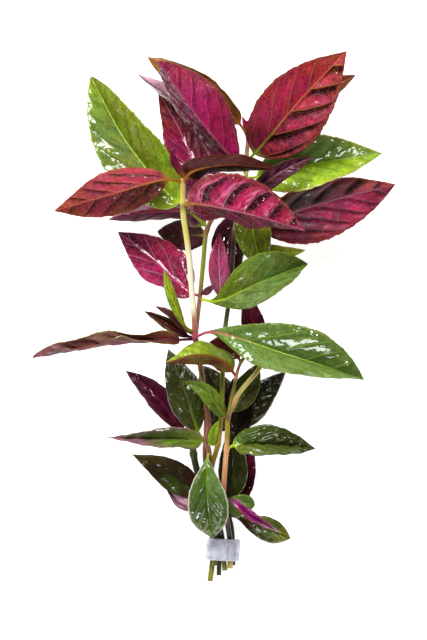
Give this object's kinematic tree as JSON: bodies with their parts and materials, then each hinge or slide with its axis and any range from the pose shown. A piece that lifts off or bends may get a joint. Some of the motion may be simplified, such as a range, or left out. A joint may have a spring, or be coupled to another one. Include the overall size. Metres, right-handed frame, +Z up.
{
  "type": "red hygrophila",
  "caption": "Bunch of red hygrophila cuttings lying down: long stems in a soft metal strip, with glossy green, bronze and crimson leaves in opposite pairs.",
  "frame": {"origin": "middle of the lead strip's flat underside, on the surface that the bunch lies on", "axes": "+Y along the bunch from the strip to the growing tips, +X to the right seen from above, +Z up from the surface"},
  "size_m": [0.182, 0.2662, 0.0568],
  "materials": {
    "green_leaf": "wet glossy leaf, deep to olive green, paler veins",
    "lime_leaf": "glossy young leaf, yellow green",
    "crimson_leaf": "quilted glossy leaf, crimson to magenta with bronze veins and edges",
    "bronze_leaf": "satin leaf, red brown",
    "maroon_leaf": "wet glossy leaf, near black maroon",
    "mauve_leaf": "satin leaf underside, purple pink",
    "stem": "smooth juicy stem, cream and olive to red brown",
    "lead": "dull soft grey metal, finely pitted"
  },
  "bodies": {
    "root": {"leaf_top_right": "crimson_leaf", "leaf_bronze_back": "bronze_leaf", "leaf_top_left_back": "bronze_leaf", "leaf_top_left_front": "crimson_leaf", "leaf_top_left_low": "bronze_leaf", "leaf_magenta_back": "maroon_leaf", "leaf_green_top_left": "green_leaf", "leaf_red_left": "crimson_leaf", "leaf_small_magenta_up": "crimson_leaf", "leaf_brown_top": "maroon_leaf", "leaf_purple_patch": "mauve_leaf", "leaf_magenta_centre": "crimson_leaf", "leaf_green_top_right": "green_leaf", "leaf_small_purple": "maroon_leaf", "leaf_magenta_right": "crimson_leaf", "leaf_green_centre": "lime_leaf", "leaf_olive_tip_right": "lime_leaf", "leaf_purple_left": "mauve_leaf", "leaf_dark_left": "maroon_leaf", "leaf_magenta_left": "crimson_leaf", "leaf_green_mid_right": "green_leaf", "leaf_purple_upright": "mauve_leaf", "leaf_dark_centre": "maroon_leaf", "leaf_pink_shoot": "mauve_leaf", "leaf_narrow_green": "lime_leaf", "leaf_brown_sliver": "bronze_leaf", "leaf_dark_sliver": "maroon_leaf", "leaf_long_left": "bronze_leaf", "leaf_large_green": "green_leaf", "leaf_olive_sliver": "lime_leaf", "leaf_maroon_behind": "maroon_leaf", "leaf_folded_green": "green_leaf", "leaf_maroon_centre": "maroon_leaf", "leaf_dark_green_left": "green_leaf", "leaf_maroon_left": "maroon_leaf", "leaf_pink_green_left": "mauve_leaf", "leaf_small_green_a": "green_leaf", "leaf_small_green_b": "green_leaf", "leaf_black_green_right": "maroon_leaf", "leaf_olive_under": "lime_leaf", "leaf_dark_low": "green_leaf", "leaf_dark_low_right": "maroon_leaf", "leaf_green_right": "green_leaf", "leaf_dark_upright": "green_leaf", "leaf_maroon_upright": "maroon_leaf", "leaf_round_green": "green_leaf", "leaf_magenta_twist": "mauve_leaf", "leaf_bottom_right": "green_leaf", "leaf_olive_left_low": "green_leaf", "leaf_maroon_low_left": "maroon_leaf", "leaf_front_oval": "green_leaf", "stem_left": "stem", "stem_centre": "stem", "stem_tall": "stem", "stem_right": "stem", "side_shoot": "stem", "stem_back": "stem", "stem_dark": "stem", "tip_bud": "crimson_leaf", "lead_strip": "lead"}
  },
  "joints": []
}
